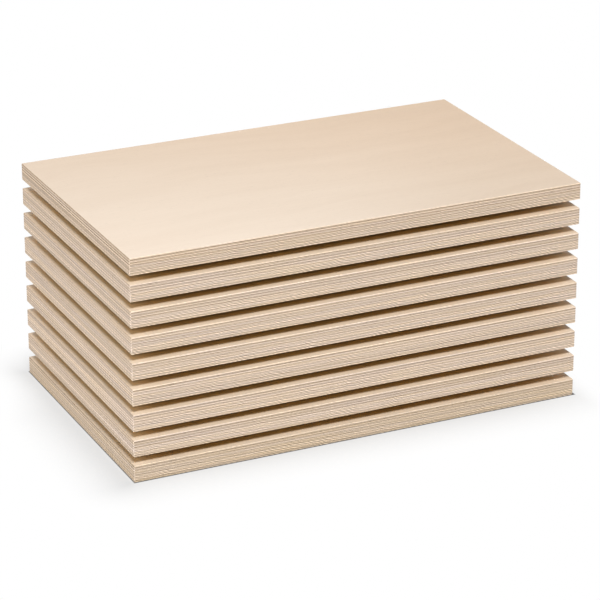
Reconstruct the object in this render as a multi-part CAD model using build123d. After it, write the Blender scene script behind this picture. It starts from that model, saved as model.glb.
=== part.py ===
from build123d import *
import os

# Stack of birch plywood sheets, kept apart by sawn spacer strips
# Millimetres, +Z up, X along the sheets' length, origin at the middle of the underside

# Sheets
sheet_count = 9
sheet_length = 508.0
sheet_width = 305.0

# Layup of one sheet: odd plies have their grain along the length, even plies across it
ply_count = 13
face_ply = 1.3
core_ply = 1.4
end_grain_set_back = 0.2
arris = 0.4
corner_ease = 0.7

# Spacer strips, laid across the sheets in pairs
spacer_thickness = 10.0
spacer_width = 25.0
spacer_arris = 0.8
spacer_end_inset = 80.0
spacer_edge_inset = 40.0

# Worked out from the sizes above
sheet_thickness = 2 * face_ply + (ply_count - 2) * core_ply
sheet_pitch = sheet_thickness + spacer_thickness
spacer_length = sheet_width - 2 * spacer_edge_inset
spacer_offset = sheet_length / 2 - spacer_end_inset - spacer_width / 2


def ply_thickness(ply):
    """Thickness of a ply, counted from 0 at the underside."""
    is_face = ply in (0, ply_count - 1)
    return face_ply if is_face else core_ply


def sheet_section(span, first_end_grain_ply):
    """Upright section of a sheet: the plies that show end grain at its two edges sit back a little."""
    section = Sketch()
    height = 0.0
    for ply in range(ply_count):
        thickness = ply_thickness(ply)
        shows_end_grain = ply % 2 == first_end_grain_ply
        ply_span = span - 2 * end_grain_set_back if shows_end_grain else span
        section += Pos(0, height + thickness / 2) * Rectangle(ply_span, thickness)
        height += thickness
    rows = section.vertices().group_by(Axis.Y)
    return chamfer(rows[0] + rows[-1], arris)


def make_sheet():
    """One sheet, standing on its underside: its outline met by its section along the length and across."""
    section_along = sheet_section(sheet_length, first_end_grain_ply=0)
    section_across = sheet_section(sheet_width, first_end_grain_ply=1)
    along = extrude(Plane.XZ * section_along, amount=sheet_width / 2, both=True)
    across = extrude(Plane.YZ * section_across, amount=sheet_length / 2, both=True)
    outline = chamfer(Rectangle(sheet_length, sheet_width).vertices(), corner_ease)
    return extrude(outline, amount=sheet_thickness) & along & across


def make_spacer():
    """One sawn strip with eased arrises, standing on its underside."""
    section = Pos(0, spacer_thickness / 2) * Rectangle(spacer_width, spacer_thickness)
    section = chamfer(section.vertices(), spacer_arris)
    return extrude(Plane.XZ * section, amount=spacer_length / 2, both=True)


os.makedirs("parts", exist_ok=True)

sheet = make_sheet()
for number in range(1, sheet_count + 1):
    underside = (number - 1) * sheet_pitch
    export_step(Pos(0, 0, underside) * sheet, f"parts/sheet_{number}.step")

spacer = make_spacer()
for number in range(1, sheet_count):
    underside = number * sheet_pitch - spacer_thickness
    for side, offset in (("left", -spacer_offset), ("right", spacer_offset)):
        export_step(Pos(offset, 0, underside) * spacer, f"parts/spacer_{number}_{side}.step")
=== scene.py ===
import math

import bpy
import numpy as np
from bpy.props import FloatProperty, FloatVectorProperty, IntProperty, PointerProperty
from mathutils import Euler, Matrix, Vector


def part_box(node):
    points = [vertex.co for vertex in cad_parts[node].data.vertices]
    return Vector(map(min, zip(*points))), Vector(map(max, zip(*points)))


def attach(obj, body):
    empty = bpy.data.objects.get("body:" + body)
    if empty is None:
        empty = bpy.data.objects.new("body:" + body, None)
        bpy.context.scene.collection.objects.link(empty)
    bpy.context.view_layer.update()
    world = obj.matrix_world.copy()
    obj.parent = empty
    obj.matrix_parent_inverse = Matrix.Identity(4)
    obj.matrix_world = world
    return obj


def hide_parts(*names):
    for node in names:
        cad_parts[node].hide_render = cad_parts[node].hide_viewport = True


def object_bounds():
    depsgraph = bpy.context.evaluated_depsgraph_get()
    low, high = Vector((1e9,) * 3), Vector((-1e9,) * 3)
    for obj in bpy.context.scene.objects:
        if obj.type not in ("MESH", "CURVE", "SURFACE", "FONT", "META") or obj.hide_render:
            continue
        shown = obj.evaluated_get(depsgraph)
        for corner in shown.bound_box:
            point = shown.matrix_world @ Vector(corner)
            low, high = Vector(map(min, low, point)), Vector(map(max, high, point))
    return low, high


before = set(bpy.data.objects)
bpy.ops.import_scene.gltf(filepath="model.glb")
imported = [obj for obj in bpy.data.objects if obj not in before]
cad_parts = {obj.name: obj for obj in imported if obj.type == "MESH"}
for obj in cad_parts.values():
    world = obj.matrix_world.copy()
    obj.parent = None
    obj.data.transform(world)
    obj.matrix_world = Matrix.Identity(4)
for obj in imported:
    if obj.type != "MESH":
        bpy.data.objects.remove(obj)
cad_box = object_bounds()

bl_info = {
    "name": "Plywood stack",
    "version": (1, 0, 0),
    "blender": (4, 5, 0),
    "location": "3D View > Sidebar > Plywood",
    "description": "Dresses a stack of birch plywood sheets: veneered faces, ply edges and spacer strips",
    "category": "Add Mesh",
}

SHEET_NODES = sorted(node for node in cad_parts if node.startswith("sheet_"))
SPACER_NODES = sorted(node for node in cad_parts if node.startswith("spacer_"))
PLY_MAP = "ply_run"
BAKE_MAP = "OFBake"
END_GRAIN = "end_grain"
TINT = "tint"
MILLIMETRE = 0.001
PHOTO_SIDE = 600
SENSOR_WIDTH = 36.0
WHITE = (1.0, 1.0, 1.0)
BARE_WOOD_SPECULAR = 0.25
HALF_LENGTH, HALF_WIDTH, STACK_HEIGHT = cad_box[1]

# Material slots of a sheet
FACE, BACK, EDGE, COVERED = range(4)

# Tints of the lowest and the top sheet's edges, and painted light on the covered faces at their rim: paler
# and cooler, against the warm bounce light in the gaps
TOP_SHEET = len(SHEET_NODES)
EDGE_TINTS = {1: (0.957, 0.953, 0.908), TOP_SHEET: (0.985, 0.975, 0.955)}
COVERED_RIM_PAINTED_LIGHT_TINT = (1.0, 1.025, 1.035)

# Unevenness of a sheet's edge, as shares of the set-back and of the arris width
CUT_UNEVENNESS = 0.3
ARRIS_UNEVENNESS = 0.35

# Where the arris of an outer ply starts and ends, as shares of the ply's height in the map
ARRIS_START = 0.2
ARRIS_END = 0.25


# Settings that a user would change

class SheetSettings(bpy.types.PropertyGroup):
    """Sizes and colours of the plywood sheets."""

    ply_count: IntProperty(
        name="Plies", description="Veneers in one sheet", default=13, min=3)
    face_ply: FloatProperty(
        name="Face ply", description="Thickness of the two outer veneers",
        default=1.3 * MILLIMETRE, unit="LENGTH", precision=5)
    set_back: FloatProperty(
        name="End grain set-back", description="How far the plies that show end grain sit back",
        default=0.2 * MILLIMETRE, unit="LENGTH", precision=5)
    arris: FloatProperty(
        name="Upper arris", description="Width of the eased edge round the face",
        default=0.33 * MILLIMETRE, unit="LENGTH", precision=5)
    under_arris: FloatProperty(
        name="Lower arris", description="Width of the eased edge round the underside",
        default=0.12 * MILLIMETRE, unit="LENGTH", precision=5)
    corner_radius: FloatProperty(
        name="Corner radius", description="Radius of the eased upright corners",
        default=0.8 * MILLIMETRE, unit="LENGTH", precision=5)
    waviness: FloatProperty(
        name="Waviness", description="How far the glue lines wander up and down",
        default=0.16 * MILLIMETRE, unit="LENGTH", precision=5)
    step: FloatProperty(
        name="Step", description="Spacing of the points round a sheet",
        default=4.0 * MILLIMETRE, unit="LENGTH", precision=5)
    face_colour: FloatVectorProperty(
        name="Face", description="Sanded birch veneer", subtype="COLOR", size=3,
        min=0.0, max=1.0, default=(0.735, 0.59, 0.45))
    face_shade: FloatVectorProperty(
        name="Face streaks", description="Darker growth figure of the face veneer", subtype="COLOR", size=3,
        min=0.0, max=1.0, default=(0.655, 0.502, 0.365))
    back_colour: FloatVectorProperty(
        name="Back", description="Plainer, darker birch veneer underneath", subtype="COLOR", size=3,
        min=0.0, max=1.0, default=(0.65, 0.43, 0.14))
    back_shade: FloatVectorProperty(
        name="Back streaks", description="Darker growth figure of the back veneer", subtype="COLOR", size=3,
        min=0.0, max=1.0, default=(0.57, 0.35, 0.1))
    # Painted shade: faces that other sheets cover get a warmer tint behind their rim and grow darker
    # further in, where the gaps are in shadow
    covered_painted_shade_tint: FloatVectorProperty(
        name="Covered tint", description="Tint of the covered faces behind their rim",
        subtype="COLOR", size=3, min=0.0, max=1.0, default=(1.0, 0.9, 0.7))
    covered_painted_shade: FloatProperty(
        name="Covered shade", description="How much darker the covered faces are further in",
        min=0.0, max=1.0, default=0.45)
    pale_ply: FloatVectorProperty(
        name="Pale ply", description="Ply cut along its grain", subtype="COLOR", size=3,
        min=0.0, max=1.0, default=(0.648, 0.532, 0.424))
    dark_ply: FloatVectorProperty(
        name="Dark ply", description="Ply cut across its grain", subtype="COLOR", size=3,
        min=0.0, max=1.0, default=(0.362, 0.274, 0.199))
    glue_line: FloatVectorProperty(
        name="Glue line", description="Resin between two plies", subtype="COLOR", size=3,
        min=0.0, max=1.0, default=(0.235, 0.153, 0.094))


class SpacerSettings(bpy.types.PropertyGroup):
    """Colours of the spacer strips."""

    early_wood: FloatVectorProperty(
        name="Early wood", description="Pale part of a growth ring", subtype="COLOR", size=3,
        min=0.0, max=1.0, default=(0.74, 0.56, 0.36))
    late_wood: FloatVectorProperty(
        name="Late wood", description="Dark part of a growth ring", subtype="COLOR", size=3,
        min=0.0, max=1.0, default=(0.52, 0.33, 0.17))


class StageSettings(bpy.types.PropertyGroup):
    """Camera, lamps and floor."""

    aim: FloatVectorProperty(
        name="Aim", description="Point at the middle of the picture", subtype="XYZ", size=3,
        unit="LENGTH", default=(-0.0022, -0.0082, 0.1008))
    distance: FloatProperty(
        name="Distance", description="From the camera to the aim", default=3.077, unit="LENGTH")
    turn: FloatProperty(
        name="Turn", description="How far left of the front the camera stands",
        default=math.radians(25.16), subtype="ANGLE")
    tilt: FloatProperty(
        name="Tilt", description="How far the camera looks down",
        default=math.radians(22.41), subtype="ANGLE")
    focal_pixels: FloatProperty(
        name="Focal length", description="In pixels of the square picture", default=2878.0)
    floor_colour: FloatVectorProperty(
        name="Floor", description="Plain pale floor", subtype="COLOR", size=3,
        min=0.0, max=1.0, default=(0.92, 0.92, 0.92))
    sky_strength: FloatProperty(
        name="Sky", description="Even light from all round", default=0.14, min=0.0)
    key_power: FloatProperty(
        name="Key lamp", description="Lamp in front, above", default=386.0, min=0.0, unit="POWER")
    fill_power: FloatProperty(
        name="Fill lamp", description="Tall soft lamp on the left", default=12.3, min=0.0, unit="POWER")
    rear_power: FloatProperty(
        name="Rear fill", description="Soft lamp behind, on the right", default=13.0, min=0.0, unit="POWER")
    sheen_power: FloatProperty(
        name="Sheen panel", description="Panel that only shows in the top face's gloss",
        default=3.5, min=0.0, unit="POWER")


# Shader maths

class Signal:
    """One output socket of a shader tree. Python's operators on it add Math nodes."""

    def __init__(self, nodes, socket):
        self.nodes = nodes
        self.socket = socket

    def math(self, operation, *others):
        return self.nodes.math(operation, self, *others)

    def __add__(self, other):
        return self.math("ADD", other)

    __radd__ = __add__

    def __sub__(self, other):
        return self.math("SUBTRACT", other)

    def __rsub__(self, other):
        return self.nodes.math("SUBTRACT", other, self)

    def __mul__(self, other):
        return self.math("MULTIPLY", other)

    __rmul__ = __mul__


class ShaderNodes:
    """Adds nodes to one material's or world's tree."""

    def __init__(self, tree):
        self.tree = tree
        tree.nodes.clear()

    def add(self, kind, settings=None, sockets=None, give=0):
        """Adds a node, sets its settings, then its sockets, and returns one of its outputs."""
        node = self.tree.nodes.new(kind)
        for name, value in (settings or {}).items():
            setattr(node, name, value)
        for name, value in (sockets or {}).items():
            socket = self.find(node.inputs, name)
            if isinstance(value, Signal):
                self.tree.links.new(value.socket, socket)
            else:
                socket.default_value = value
        return Signal(self, self.find(node.outputs, give)) if node.outputs else None

    @staticmethod
    def find(sockets, name):
        """A socket by its number, its identifier or its name."""
        if isinstance(name, int):
            return sockets[name]
        return next(socket for socket in sockets if name in (socket.identifier, socket.name))

    def math(self, operation, *values):
        return self.add("ShaderNodeMath", {"operation": operation}, dict(enumerate(values)))

    def vector(self, x, y, z):
        return self.add("ShaderNodeCombineXYZ", sockets={"X": x, "Y": y, "Z": z})

    def split(self, vector):
        """The three parts of a vector."""
        return [self.add("ShaderNodeSeparateXYZ", sockets={0: vector}, give=axis) for axis in "XYZ"]

    def attribute(self, name, give):
        """A value that the mesh holds for each of its faces."""
        return self.add("ShaderNodeAttribute", {"attribute_name": name}, give=give)

    def noise(self, vector, detail=2.0):
        """Cloudy noise from 0 to 1, one lump to a unit of the vector."""
        sockets = {"Vector": vector, "Scale": 1.0, "Detail": detail}
        return self.add("ShaderNodeTexNoise", {"noise_dimensions": "3D"}, sockets)

    def rise(self, value, low, high):
        """A smooth step: 0 below low and 1 above high."""
        sockets = {"Value": value, "From Min": low, "From Max": high}
        return self.add("ShaderNodeMapRange", {"interpolation_type": "SMOOTHSTEP"}, sockets)

    def blend(self, factor, first, second):
        """Two colours mixed by a factor."""
        sockets = {"Factor_Float": factor, "A_Color": colour(first), "B_Color": colour(second)}
        return self.add("ShaderNodeMix", {"data_type": "RGBA"}, sockets, give="Result_Color")

    def multiply(self, first, second):
        """Two colours multiplied."""
        return self.add("ShaderNodeVectorMath", {"operation": "MULTIPLY"}, {0: first, 1: second})

    def darken(self, base, factor):
        """A colour times a grey value."""
        return self.multiply(base, self.vector(factor, factor, factor))

    def bump(self, height, depth):
        return self.add("ShaderNodeBump", sockets={"Height": height, "Distance": depth, "Strength": 1.0})

    def surface(self, shader):
        self.add("ShaderNodeOutputMaterial", sockets={"Surface": shader})


def colour(value):
    """A colour for a socket: a link stays as it is, and three numbers get an alpha."""
    return value if isinstance(value, Signal) else (*value, 1.0)


def new_material(name):
    material = bpy.data.materials.new(name)
    material.use_nodes = True
    return material, ShaderNodes(material.node_tree)


# Finishes

def bare_wood(nodes, base, roughness, relief, depth):
    """Ends a material's tree with untreated wood whose relief has a depth."""
    nodes.surface(nodes.add("ShaderNodeBsdfPrincipled", sockets={
        "Base Color": base,
        "Roughness": roughness,
        "Specular IOR Level": BARE_WOOD_SPECULAR,
        "Normal": nodes.bump(relief, depth),
    }))


def birch_veneer(name, ground, streaks, inner_painted_shade_tint=WHITE, inner_painted_shade=0.0):
    """Sanded rotary-cut birch with its grain along the sheet, a painted light tint from cool at the front
    left to warm at the rear right, and painted shade behind the rim if given.
    """
    # Painted light: paler and cooler towards the front left, warmer towards the rear right, as the lamps
    # fall across the top
    painted_light_front_tint = (0.97, 0.99, 1.02)
    painted_shade_rear_tint = (1.0, 0.945, 0.895)
    # How many times narrower the rim is at the ends
    end_rim_scale = 2.1
    material, nodes = new_material(name)
    place = nodes.add("ShaderNodeTexCoord", give="Object")
    x, y, z = nodes.split(place)
    drift = nodes.noise(nodes.vector(x * 3, y * 5, z * 40))
    cloud = nodes.noise(nodes.vector(x * 4, y * 14, z * 90), detail=3.0)
    figure = nodes.noise(nodes.vector(x * 5, y * 60 + drift * 9, z * 90), detail=4.0)
    fibre = nodes.noise(nodes.vector(x * 35, y * 1100, z * 90), detail=2.0)
    fleck = nodes.noise(nodes.vector(x * 170, y * 1500, z * 90), detail=1.0)
    pores = nodes.rise(fleck, 0.66, 0.76)
    tone = nodes.rise(cloud, 0.3, 0.7) * 0.22 + nodes.rise(figure, 0.35, 0.75) * 0.22
    base = nodes.blend(tone, ground, streaks)
    # Painted light tint across the sheet, cool in front and warm behind
    painted_light_gradient = nodes.rise(x * 0.6 + y + drift * 0.1, -0.15, 0.35)
    base = nodes.multiply(base, nodes.blend(painted_light_gradient, painted_light_front_tint, painted_shade_rear_tint))
    base = nodes.multiply(base, nodes.attribute(TINT, "Vector"))
    from_end = HALF_LENGTH - x.math("ABSOLUTE")
    from_side = HALF_WIDTH - y.math("ABSOLUTE")
    inset = (from_end * end_rim_scale).math("MINIMUM", from_side)
    # Painted shade in the gaps: warmer behind the lit rim, darker further in
    painted_shade_behind_rim = nodes.rise(inset, 5 * MILLIMETRE, 14 * MILLIMETRE)
    base = nodes.multiply(base, nodes.blend(painted_shade_behind_rim, WHITE, inner_painted_shade_tint))
    painted_shade_further_in = nodes.rise(inset, 15 * MILLIMETRE, 20.5 * MILLIMETRE)
    base = nodes.darken(base, 1.03 - fibre * 0.06 - pores * 0.12 - painted_shade_further_in * inner_painted_shade)
    relief = fibre * 0.6 - pores * 0.8
    bare_wood(nodes, base, 0.4 + fibre * 0.1, relief, 0.03 * MILLIMETRE)
    return material


def ply_edge(settings):
    """Sawn edge of a sheet: pale plies cut along the grain, dark ones cut across it, and glue lines."""
    warm = (1.02, 1.0, 0.95)
    cool = (0.985, 0.985, 1.02)
    material, nodes = new_material("ply_edge")
    run, ply, _ = nodes.split(nodes.add("ShaderNodeUVMap", {"uv_map": PLY_MAP}))
    across = nodes.attribute(END_GRAIN, "Fac")
    course = ply.math("FLOOR")
    height = ply - course
    above_back = (ply * (1 / settings.ply_count)).math("FRACT")
    seam = across * nodes.rise(height, 0.35, 0.75)
    patch = nodes.noise(nodes.vector(run * 14, course * 3.7, 0.0), detail=3.0)
    strokes = nodes.noise(nodes.vector(run * 130, height * 2.2 + run * 300, course * 7.3), detail=2.0)
    streak = nodes.noise(nodes.vector(run * 40, height * 7, course * 9.1), detail=2.0)
    pore = nodes.noise(nodes.vector(run * 1500, height * 2.4, course * 5.1), detail=2.0)
    check = nodes.noise(nodes.vector(run * 420 + height * 0.9, course * 2.9, 0.0), detail=0.0)
    hue = nodes.noise(nodes.vector(run * 9, ply * 0.4, 0.0), detail=2.0)
    sway = nodes.noise(nodes.vector(run * 60, ply * 0.1, 0.0), detail=1.0)
    tooth = (run * 1000 + ply * 3.1 + sway * 14).math("SINE") * nodes.rise(strokes + sway, 0.6, 1.4)
    tooth = tooth * (1.3 - nodes.rise(above_back, 0.3, 0.8) * 0.65)
    ticks = nodes.rise(check, 0.6, 0.72) * across
    fibre = strokes * 0.6 + streak * 0.4
    grain = fibre + (pore - fibre) * across
    depth = across * (0.15 + patch * 0.3) + seam * (0.4 + patch * 0.6)
    base = nodes.blend(depth, settings.pale_ply, settings.dark_ply)
    base = nodes.multiply(base, nodes.attribute(TINT, "Vector"))
    base = nodes.multiply(base, nodes.blend(nodes.rise(hue, 0.35, 0.65), warm, cool))
    base = nodes.darken(base, 0.78 + grain * 0.3 + patch * 0.16 + tooth * 0.28 - ticks * 0.14)
    from_line = height.math("MINIMUM", 1 - height)
    line = 1 - nodes.rise(from_line, 0.05, 0.15)
    base = nodes.blend(line * (0.4 + patch * 0.6), base, settings.glue_line)
    relief = grain * 0.6 + tooth * 0.4 - ticks * 0.5
    bare_wood(nodes, base, 0.66 + grain * 0.16, relief, 0.06 * MILLIMETRE)
    return material


def sawn_strip(settings):
    """Rough sawn softwood with its grain along Y and growth rings on the two ends."""
    material, nodes = new_material("sawn_strip")
    place = nodes.add("ShaderNodeTexCoord", give="Object")
    x, y, z = nodes.split(place)
    facing = nodes.split(nodes.add("ShaderNodeNewGeometry", give="Normal"))[1]
    is_end = nodes.rise(facing.math("ABSOLUTE"), 0.5, 0.6)
    sway = nodes.noise(nodes.vector(x * 30, y * 7, z * 30))
    rings = (x * 330 + z * 190 + sway * 5).math("FRACT")
    late = nodes.rise(rings, 0.55, 0.95) - nodes.rise(rings, 0.95, 1.0)
    fibre = nodes.noise(nodes.vector(x * 1500, y * 40, z * 1500), detail=2.0)
    fuzz = nodes.noise(nodes.vector(x * 1200, y * 900, z * 1200), detail=2.0)
    saw = nodes.noise(nodes.vector(x * 60, y * 420, z * 60), detail=1.0)
    grain = fibre + (fuzz - fibre) * is_end
    base = nodes.blend(late * 0.55, settings.early_wood, settings.late_wood)
    base = nodes.darken(base, 0.92 + grain * 0.16 - is_end * 0.14 - saw * 0.05)
    relief = grain * 0.6 + saw * 0.8
    bare_wood(nodes, base, 0.72 + grain * 0.14, relief, 0.1 * MILLIMETRE)
    return material


def seen_directly(nodes):
    """1 for rays from the camera and for mirror and glass rays, else 0."""
    rays = [nodes.add("ShaderNodeLightPath", give=f"Is {kind} Ray") for kind in
            ("Camera", "Glossy", "Transmission")]
    return rays[0].math("MAXIMUM", rays[1]).math("MAXIMUM", rays[2])


def past_foot(place, half_size):
    """How far a place on the floor is beyond the lowest sheet, along one axis."""
    return (place.math("ABSOLUTE") - half_size).math("MAXIMUM", 0.0)


def white_floor(settings):
    """White floor with a soft shade round the stack's foot that is deeper on the left."""
    # How fast the shade falls off, per metre
    left_falloff = 12.5
    left_rear_extra = 9.7
    right_falloff = 33.0
    ahead_falloff = 13.3
    # How deep the shade is at the foot
    ahead_depth = 0.225
    left_extra = 0.105
    right_loss = 0.1
    contact_shade = 0.15
    # How far the dark line under the edge is moved to the right
    contact_shift = 0.8 * MILLIMETRE
    # How softly the shade on the left passes into the shade in front
    corner_blend = 4 * MILLIMETRE
    # How much of the floor is plain white close to the stack, where the lamps also light it
    white_share = 0.7

    material, nodes = new_material("white_floor")
    x, y, _ = nodes.split(nodes.add("ShaderNodeTexCoord", give="Object"))
    aside = past_foot(x - contact_shift, HALF_LENGTH)
    ahead = past_foot(y, HALF_WIDTH)
    contact = nodes.rise(aside.math("MAXIMUM", ahead), 0.6 * MILLIMETRE, 2.2 * MILLIMETRE)
    left = (-HALF_LENGTH - x).math("MAXIMUM", 0.0)
    right = (x - HALF_LENGTH).math("MAXIMUM", 0.0)
    behind = nodes.rise(y, 0.2 * HALF_WIDTH, 0.9 * HALF_WIDTH)
    sideways = left * (left_falloff + behind * left_rear_extra) + right * right_falloff
    endways = ahead * ahead_falloff
    away = (sideways * sideways + endways * endways).math("SQRT").math("MINIMUM", 1.0)
    near = 1 - away
    on_left = (left * left).math("DIVIDE", left * left + ahead * ahead + corner_blend ** 2)
    on_right = nodes.rise(x, 0.7 * HALF_LENGTH, 1.15 * HALF_LENGTH)
    depth = ahead_depth + on_left * left_extra - on_right * right_loss
    shade = (contact_shade + contact * (1 - contact_shade)) * (1 - near * near * depth)
    paint = nodes.add("ShaderNodeBsdfPrincipled", sockets={
        "Base Color": nodes.darken(settings.floor_colour, shade),
        "Roughness": 0.9,
        "Specular IOR Level": 0.0,
    })
    white = nodes.add("ShaderNodeEmission", sockets={
        "Color": nodes.vector(shade, shade, shade),
        "Strength": 1.0,
    })
    share = (white_share + away * (1 - white_share)) * seen_directly(nodes)
    nodes.surface(nodes.add("ShaderNodeMixShader", sockets={0: share, 1: paint, 2: white}))
    return material


# Sheets

class SheetRing:
    """Points round a sheet's edge, anticlockwise from above, starting at the front left corner.

    Each point hangs from an anchor, which goes from corner centre to corner centre, and stands off it
    along its outward direction by the corner radius.
    """

    corner_steps = 4

    def __init__(self, half_length, half_width, settings):
        self.radius = settings.corner_radius
        sides = ((-1, -1, 1, -1), (1, -1, 1, 1), (1, 1, -1, 1), (-1, 1, -1, -1))
        anchors = []
        angles = []
        numbers = []
        for side, (x0, y0, x1, y1) in enumerate(sides):
            span = 2 * (half_length if y0 == y1 else half_width)
            steps = round(span / settings.step)
            share = np.linspace(0.0, 1.0, steps + 1)[:, None]
            anchors.append(np.array((x0, y0)) + share * np.array((x1 - x0, y1 - y0)))
            facing = (side - 1) * math.pi / 2
            angles.append(np.full(steps + 1, facing))
            turn = np.linspace(0.0, math.pi / 2, self.corner_steps + 1)[1:-1]
            anchors.append(np.tile(np.array((x1, y1), float), (len(turn), 1)))
            angles.append(facing + turn)
            numbers.append(np.full(steps + 1 + len(turn), side))
        self.anchors = np.concatenate(anchors)
        self.side = np.concatenate(numbers)
        angles = np.concatenate(angles)
        self.outward = np.stack((np.cos(angles), np.sin(angles)), axis=1)
        self.count = len(angles)
        outline = self.points(half_length, half_width)
        legs = np.linalg.norm(np.roll(outline, -1, axis=0) - outline, axis=1)
        self.run = np.concatenate(((0.0,), np.cumsum(legs)))

    def points(self, half_length, half_width, stand_back=0.0):
        """The ring at these half sizes, moved inwards by a distance for each point."""
        reach = np.array((half_length, half_width)) - self.radius
        return self.anchors * reach + self.outward * np.reshape(self.radius - stand_back, (-1, 1))

    def faces_ends(self):
        """True where the edge faces along the length, at the sheet's two ends."""
        return np.abs(self.outward[:, 0]) > np.abs(self.outward[:, 1])


def wander(rng, points, shortest, longest, waves=6):
    """A smooth random surface from -1 to 1, read at points in the plane."""
    total = np.zeros(len(points))
    for _ in range(waves):
        length = shortest * (longest / shortest) ** rng.random()
        heading = rng.random() * 2 * math.pi
        phase = rng.random() * 2 * math.pi
        across = points @ np.array((math.cos(heading), math.sin(heading)))
        total += np.sin(2 * math.pi * across / length + phase)
    return total / waves


def ply_boundaries(rng, settings, outline, thickness):
    """Heights of the ply boundaries above the underside, at each point of the outline."""
    core_ply = (thickness - 2 * settings.face_ply) / (settings.ply_count - 2)
    levels = []
    for boundary in range(settings.ply_count + 1):
        if boundary in (0, settings.ply_count):
            levels.append(np.full(len(outline), 0.0 if boundary == 0 else thickness))
            continue
        level = settings.face_ply + (boundary - 1) * core_ply
        sway = wander(rng, outline, shortest=25 * MILLIMETRE, longest=260 * MILLIMETRE)
        levels.append(level + settings.waviness * sway)
    return levels


def sheet_mesh(number, low, high, settings):
    """Mesh of one sheet: rings of points from the underside up, with a band for each ply's edge."""
    rng = np.random.default_rng(number)
    half_length = (high.x - low.x) / 2
    half_width = (high.y - low.y) / 2
    thickness = high.z - low.z
    centre = np.array(((high.x + low.x) / 2, (high.y + low.y) / 2))
    ring = SheetRing(half_length, half_width, settings)
    outline = ring.points(half_length, half_width)
    levels = ply_boundaries(rng, settings, outline, thickness)

    rings = []
    plies = []

    def add_ring(points, heights, ply):
        rings.append(np.column_stack((points + centre, low.z + heights)))
        plies.append(ply + number * settings.ply_count)

    for ply in range(settings.ply_count):
        grain_along = ply % 2 == 0
        back_x = settings.set_back if grain_along else 0.0
        back_y = 0.0 if grain_along else settings.set_back
        unevenness = 0.5 + 0.5 * wander(rng, outline, shortest=6 * MILLIMETRE, longest=60 * MILLIMETRE)
        stand_back = CUT_UNEVENNESS * settings.set_back * unevenness
        edge = ring.points(half_length - back_x, half_width - back_y, stand_back)
        width = settings.under_arris if ply == 0 else settings.arris
        sway = wander(rng, outline, shortest=8 * MILLIMETRE, longest=90 * MILLIMETRE)
        arris = width * (1 + ARRIS_UNEVENNESS * sway)
        face = ring.points(half_length - back_x, half_width - back_y, stand_back + arris)
        lower, upper = levels[ply], levels[ply + 1]
        if ply == 0:
            add_ring(face, lower, ARRIS_START)
            add_ring(edge, lower + arris, ARRIS_END)
            add_ring(edge, upper, 1.0)
        elif ply == settings.ply_count - 1:
            add_ring(edge, lower, ply)
            add_ring(edge, upper - arris, ply + 1 - ARRIS_END)
            add_ring(face, upper, ply + 1 - ARRIS_START)
        else:
            add_ring(edge, lower, ply)
            add_ring(edge, upper, ply + 1)

    return mesh_from_rings(number, ring, rings, plies, rng, settings)


def tints_of_plies(rng, count):
    """A colour factor for each ply: some are lighter or warmer, and the lowest three are warmer and darker,
    a painted shade along the sheet's lower edge.
    """
    tone_spread = 0.1
    second_ply_shade = 0.08
    warm_shift = np.array((0.008, -0.002, -0.02))
    # Painted shade: the lowest three plies are warmer and darker next to the gap below
    lowest_painted_shade_tints = ((1.0, 0.98, 0.93), (1.0, 0.985, 0.95), (1.0, 0.995, 0.98))
    tone = 1 + tone_spread * (2 * rng.random(count) - 1)
    tone[1] -= second_ply_shade
    painted_light_gradient = 2 * rng.random(count) - 1
    tints = tone[:, None] * (1 + painted_light_gradient[:, None] * warm_shift)
    tints[:len(lowest_painted_shade_tints)] *= lowest_painted_shade_tints
    return tints


class EdgeLook:
    """How each ply of one sheet shows at the cut edge: the strength of its end grain and its tint."""

    # Lighter at the upright corners, a painted highlight, and at the upper arris, partly its paler face
    # veneer and partly painted highlight. A corner starts where the outward direction leaves the axes
    corner_direction = 0.999
    corner_painted_highlight = (1.16, 1.19, 1.25)
    arris_painted_highlight = 1.25
    top_end_arris_painted_highlight = 1.05

    # End grain shows more towards the face, and most in the ply next to it
    weakest = 0.3
    strongest = 1.2
    spread = 0.3
    next_to_face_extra = 0.3
    outer_sheet_extra = 0.6
    top_fourth_extra = 0.35
    end_clearness = 0.9
    top_end_clearness = 1.3

    # At its ends a sheet has tones of its own, and the top sheet has some dark plies there
    end_tone_spread = 0.3
    top_end_dark_plies = (-3, -5, -8)
    top_end_shade = 0.3

    def __init__(self, number, ring, rng, settings):
        on_top = number == TOP_SHEET
        count = settings.ply_count
        self.at_ends = ring.faces_ends()
        at_corner = np.abs(ring.outward).max(axis=1) < self.corner_direction
        # Painted highlight on the upright corners and along the upper arris
        self.painted_highlight = np.where(at_corner[:, None], self.corner_painted_highlight, 1.0)
        end_arris_painted_highlight = self.top_end_arris_painted_highlight if on_top else self.arris_painted_highlight
        self.painted_highlight_at_arris = np.where(self.at_ends, end_arris_painted_highlight, self.arris_painted_highlight)[:, None]
        end_clearness = self.top_end_clearness if on_top else self.end_clearness
        self.clearness = np.where(self.at_ends, end_clearness, 1.0)
        self.tints = tints_of_plies(rng, count) * EDGE_TINTS.get(number, WHITE)
        self.strength = np.linspace(self.weakest, self.strongest, count) + self.spread * rng.random(count)
        self.strength[-2] += self.outer_sheet_extra if number in EDGE_TINTS else self.next_to_face_extra
        self.end_tones = 1 + self.end_tone_spread * (rng.random(count) - 0.5)
        if on_top:
            self.strength[-4] += self.top_fourth_extra
            self.end_tones[list(self.top_end_dark_plies)] -= self.top_end_shade

    def end_grain(self, ply):
        """Strength of a ply's end grain at each point of the ring."""
        shows_end_grain = self.at_ends if ply % 2 == 0 else ~self.at_ends
        return self.strength[ply] * shows_end_grain * self.clearness

    def tint(self, ply, at_arris):
        """Colour factor of a ply at each point of the ring."""
        # Painted highlight at the corners and along the arris
        painted_highlight = self.painted_highlight_at_arris if at_arris else self.painted_highlight
        tone = np.where(self.at_ends, self.end_tones[ply], 1.0)[:, None]
        return painted_highlight * tone * self.tints[ply]


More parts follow.
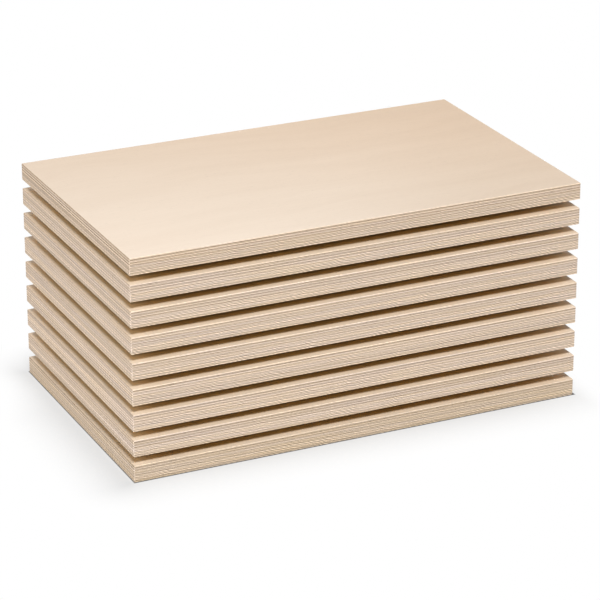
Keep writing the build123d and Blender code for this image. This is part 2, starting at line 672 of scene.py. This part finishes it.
def bake_places(ring, rings):
    """A place on the unit square for each face corner: strips for the sides, a face and a smaller back."""
    gap = 0.006
    stretch = 1.5
    side_count = 4
    outline = rings[-1][:, :2]
    scale = (1 - 3 * gap) / np.ptp(outline[:, 0])
    rises = [np.linalg.norm(upper - lower, axis=1).mean() for lower, upper in zip(rings, rings[1:])]
    climb = np.concatenate(((0.0,), np.cumsum(rises))) * scale * stretch
    starts = ring.run[[np.argmax(ring.side == side) for side in range(side_count)]][ring.side]
    left = gap + (ring.run[:-1] - starts) * scale
    right = gap + (ring.run[1:] - starts) * scale
    foot = gap + ring.side * (climb[-1] + gap)
    places = []
    for low, high in zip(climb, climb[1:]):
        across = np.stack((left, right, right, left), axis=1)
        up = np.stack((foot + low, foot + low, foot + high, foot + high), axis=1)
        places.append(np.stack((across, up), axis=2).reshape(-1, 2))
    face = gap + (outline - outline.min(axis=0)) * scale + (0.0, side_count * (climb[-1] + gap))
    room = 1 - 2 * gap - face[:, 1].max()
    back = rings[0][::-1, :2] * (-1.0, 1.0)
    back = (back - back.min(axis=0)) * (room / np.ptp(back[:, 1])) + (gap, face[:, 1].max() + gap)
    return np.concatenate((*places, back, face))


def mesh_from_rings(number, ring, rings, plies, rng, settings):
    """Closed mesh of stacked rings, with the run round the edge and the ply number in a map."""
    look = EdgeLook(number, ring, rng, settings)
    count = ring.count
    here = np.arange(count)
    after = np.roll(here, -1)
    faces = []
    corner_runs = []
    corner_plies = []
    end_grain = []
    tints = []
    slots = []
    top_band = len(rings) - 2
    for band in range(len(rings) - 1):
        below, above = band * count, (band + 1) * count
        quads = np.stack((below + here, below + after, above + after, above + here), axis=1)
        faces.extend(quads.tolist())
        runs = np.stack((ring.run[:-1], ring.run[1:], ring.run[1:], ring.run[:-1]), axis=1)
        corner_runs.append(runs.ravel())
        corner_plies.append(np.tile((plies[band], plies[band], plies[band + 1], plies[band + 1]), count))
        ply = int(plies[band]) % settings.ply_count
        end_grain.append(look.end_grain(ply))
        tints.append(look.tint(ply, at_arris=band == top_band).ravel())
        slots.append(np.full(count, EDGE))
    uppermost = (len(rings) - 1) * count + here
    # A covered sheet's top has painted light at its rim, a paler and cooler tint
    is_covered = number != TOP_SHEET
    upper_cap = (COVERED, uppermost, COVERED_RIM_PAINTED_LIGHT_TINT) if is_covered else (FACE, uppermost, WHITE)
    for slot, cap, tint in ((BACK, here[::-1], WHITE), upper_cap):
        faces.append(cap.tolist())
        corner_runs.append(np.zeros(count))
        corner_plies.append(np.zeros(count))
        end_grain.append(np.zeros(1))
        tints.append(tint)
        slots.append(np.full(1, slot))

    mesh = bpy.data.meshes.new(f"plywood_sheet_{number}")
    mesh.from_pydata(np.concatenate(rings).tolist(), [], faces)
    ply_places = np.stack((np.concatenate(corner_runs), np.concatenate(corner_plies)), axis=1)
    for name, places in ((PLY_MAP, ply_places), (BAKE_MAP, bake_places(ring, rings))):
        layer = mesh.uv_layers.new(name=name)
        layer.uv.foreach_set("vector", places.astype(np.float32).ravel())
    marks = mesh.attributes.new(END_GRAIN, "FLOAT", "FACE")
    marks.data.foreach_set("value", np.concatenate(end_grain).astype(np.float32))
    shades = mesh.attributes.new(TINT, "FLOAT_VECTOR", "FACE")
    shades.data.foreach_set("vector", np.concatenate(tints).astype(np.float32))
    mesh.polygons.foreach_set("material_index", np.concatenate(slots).astype(np.int32))
    mesh.validate()
    mesh.update()
    return mesh


# Operators

class PLYWOOD_OT_sheets(bpy.types.Operator):
    """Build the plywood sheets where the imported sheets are"""

    bl_idname = "plywood.sheets"
    bl_label = "Build sheets"

    def execute(self, context):
        settings = context.scene.plywood_sheets
        finishes = (
            birch_veneer("birch_face", settings.face_colour, settings.face_shade),
            birch_veneer("birch_back", settings.back_colour, settings.back_shade),
            ply_edge(settings),
            # Copy of the face with painted shade behind the rim, for the covered faces
            birch_veneer("birch_covered_painted_shade", settings.face_colour, settings.face_shade,
                         settings.covered_painted_shade_tint, settings.covered_painted_shade),
        )
        for node in SHEET_NODES:
            low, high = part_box(node)
            number = int(node.rsplit("_", 1)[1])
            mesh = sheet_mesh(number, low, high, settings)
            for finish in finishes:
                mesh.materials.append(finish)
            sheet = bpy.data.objects.new(mesh.name, mesh)
            context.scene.collection.objects.link(sheet)
            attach(sheet, "root")
            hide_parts(node)
        return {"FINISHED"}


class PLYWOOD_OT_spacers(bpy.types.Operator):
    """Give the spacer strips their sawn wood"""

    bl_idname = "plywood.spacers"
    bl_label = "Finish spacers"

    def execute(self, context):
        finish = sawn_strip(context.scene.plywood_spacers)
        for node in SPACER_NODES:
            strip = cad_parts[node].data
            strip.materials.clear()
            strip.materials.append(finish)
        return {"FINISHED"}


class PLYWOOD_OT_stage(bpy.types.Operator):
    """Set up the floor, the lamps, the sky and the camera"""

    bl_idname = "plywood.stage"
    bl_label = "Set up stage"

    floor_reach = 12.0

    def execute(self, context):
        scene = context.scene
        settings = scene.plywood_stage
        self.lay_floor(scene, settings)
        self.light_sky(scene, settings)
        self.hang_lamp(scene, "key", settings.key_power,
                       distance=6.0, left_of_front=18, height=48, size=(2.6, 1.05))
        self.hang_lamp(scene, "fill", settings.fill_power,
                       distance=1.8, left_of_front=85, height=20, size=(0.5, 1.1))
        rear = self.hang_lamp(scene, "rear_fill", settings.rear_power,
                              distance=1.8, left_of_front=215, height=4, size=(0.5, 0.4))
        rear.visible_glossy = False
        sheen = self.hang_lamp(scene, "sheen", settings.sheen_power,
                               distance=0.76, left_of_front=190, height=53, size=(0.54, 0.15))
        sheen.visible_diffuse = False
        self.place_camera(scene, settings)
        scene.view_settings.view_transform = "Standard"
        return {"FINISHED"}

    def lay_floor(self, scene, settings):
        reach = self.floor_reach
        mesh = bpy.data.meshes.new("floor")
        corners = [(-reach, -reach, 0), (reach, -reach, 0), (reach, reach, 0), (-reach, reach, 0)]
        mesh.from_pydata(corners, [], [(0, 1, 2, 3)])
        mesh.materials.append(white_floor(settings))
        floor = bpy.data.objects.new("floor", mesh)
        scene.collection.objects.link(floor)

    def light_sky(self, scene, settings):
        scene.world = bpy.data.worlds.new("sky")
        scene.world.use_nodes = True
        nodes = ShaderNodes(scene.world.node_tree)
        white = colour(WHITE)
        strength = settings.sky_strength
        light = nodes.add("ShaderNodeBackground", sockets={"Color": white, "Strength": strength})
        backdrop = nodes.add("ShaderNodeBackground", sockets={"Color": white, "Strength": 1.0})
        sky = nodes.add("ShaderNodeMixShader", sockets={0: seen_directly(nodes), 1: light, 2: backdrop})
        nodes.add("ShaderNodeOutputWorld", sockets={"Surface": sky})

    def hang_lamp(self, scene, name, power, distance, left_of_front, height, size):
        """A lamp panel at a distance from the stack's middle, placed by two angles in degrees."""
        middle = Vector((0.0, 0.0, STACK_HEIGHT / 2))
        turn = math.radians(left_of_front)
        rise = math.radians(height)
        level = math.cos(rise)
        towards = Vector((-math.sin(turn) * level, -math.cos(turn) * level, math.sin(rise)))
        lamp = bpy.data.lights.new(name, "AREA")
        lamp.energy = power
        lamp.shape = "RECTANGLE"
        lamp.size, lamp.size_y = size
        holder = bpy.data.objects.new(name, lamp)
        holder.location = middle + towards * distance
        holder.rotation_euler = towards.to_track_quat("Z", "Y").to_euler()
        scene.collection.objects.link(holder)
        return holder

    def place_camera(self, scene, settings):
        lens = bpy.data.cameras.new("camera")
        lens.sensor_width = SENSOR_WIDTH
        lens.lens = settings.focal_pixels / PHOTO_SIDE * SENSOR_WIDTH
        camera = bpy.data.objects.new("camera", lens)
        camera.rotation_euler = Euler((math.pi / 2 - settings.tilt, 0.0, -settings.turn))
        back = camera.rotation_euler.to_matrix() @ Vector((0.0, 0.0, 1.0))
        camera.location = Vector(settings.aim) + back * settings.distance
        scene.collection.objects.link(camera)
        scene.camera = camera


class PLYWOOD_PT_panel(bpy.types.Panel):
    """Lists the steps and their settings in the 3D view's sidebar"""

    bl_idname = "PLYWOOD_PT_panel"
    bl_label = "Plywood stack"
    bl_space_type = "VIEW_3D"
    bl_region_type = "UI"
    bl_category = "Plywood"

    def draw(self, context):
        for operator, settings in STEPS:
            box = self.layout.box()
            box.operator(operator.bl_idname)
            group = getattr(context.scene, settings)
            for name in group.__annotations__:
                box.prop(group, name)


STEPS = (
    (PLYWOOD_OT_sheets, "plywood_sheets"),
    (PLYWOOD_OT_spacers, "plywood_spacers"),
    (PLYWOOD_OT_stage, "plywood_stage"),
)
SETTINGS = {
    "plywood_sheets": SheetSettings,
    "plywood_spacers": SpacerSettings,
    "plywood_stage": StageSettings,
}
CLASSES = (*SETTINGS.values(), *(operator for operator, _ in STEPS), PLYWOOD_PT_panel)


def register():
    for cls in CLASSES:
        bpy.utils.register_class(cls)
    for name, group in SETTINGS.items():
        setattr(bpy.types.Scene, name, PointerProperty(type=group))


def unregister():
    for name in SETTINGS:
        delattr(bpy.types.Scene, name)
    for cls in reversed(CLASSES):
        bpy.utils.unregister_class(cls)


def main():
    register()
    bpy.ops.plywood.sheets()
    bpy.ops.plywood.spacers()
    bpy.ops.plywood.stage()


if __name__ == "__main__":
    main()
